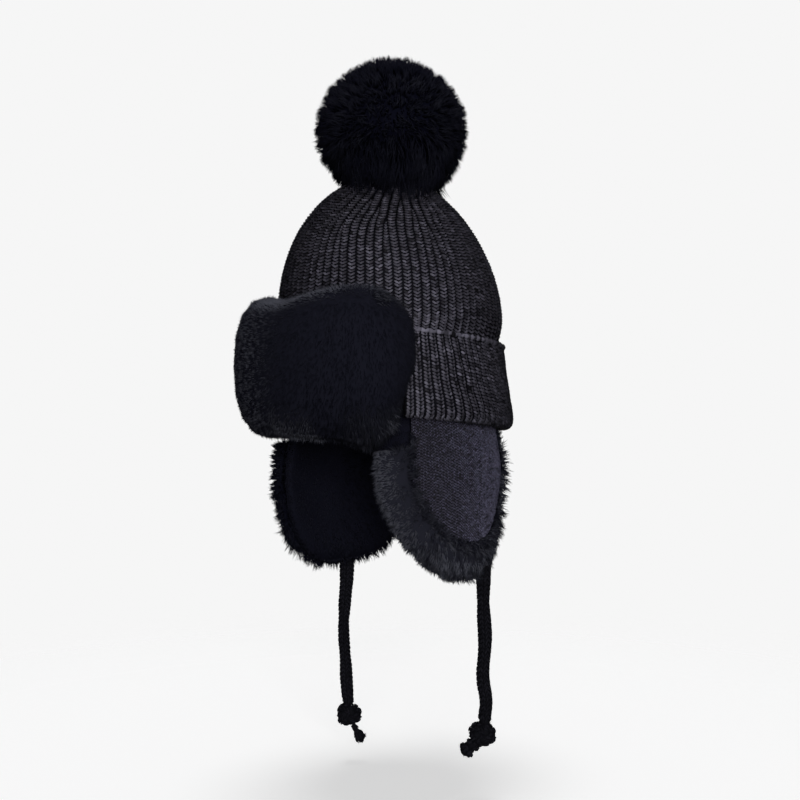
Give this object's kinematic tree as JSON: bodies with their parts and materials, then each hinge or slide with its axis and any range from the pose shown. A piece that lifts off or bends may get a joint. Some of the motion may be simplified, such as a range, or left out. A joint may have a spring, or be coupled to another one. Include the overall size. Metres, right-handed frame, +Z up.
{
  "type": "knit earflap beanie",
  "caption": "Worn-form knit beanie with a turned-up fur brow flap, fur-lined ear flaps, a fur pompom and knotted hanging ties.",
  "frame": {"origin": "the point inside the crown that rests on the top of a head", "axes": "+Z up, -Y towards the brow, +X towards the wearer's left ear"},
  "size_m": [0.1986, 0.2543, 0.6142],
  "materials": {
    "rib_knit": "chunky ribbed black yarn, matt with a little sheen",
    "fine_knit": "fine plain black knit, matt",
    "fur": "short dense black faux fur, soft sheen at the tips",
    "cord": "braided black knit cord, matt, frayed at its end"
  },
  "bodies": {
    "root": {"crown": "rib_knit", "cuff": "rib_knit", "front_flap": "fur", "pompom": "fur", "ear_flap_shell_left": "fine_knit", "ear_flap_shell_right": "fine_knit", "ear_flap_lining_left": "fur", "ear_flap_lining_right": "fur", "ear_flap_trim_left": "fur", "ear_flap_trim_right": "fur", "tie_left": "cord", "tie_right": "cord", "tie_knot_left": "cord", "tie_knot_right": "cord", "tie_tail_left": "cord", "tie_tail_right": "cord"}
  },
  "joints": []
}
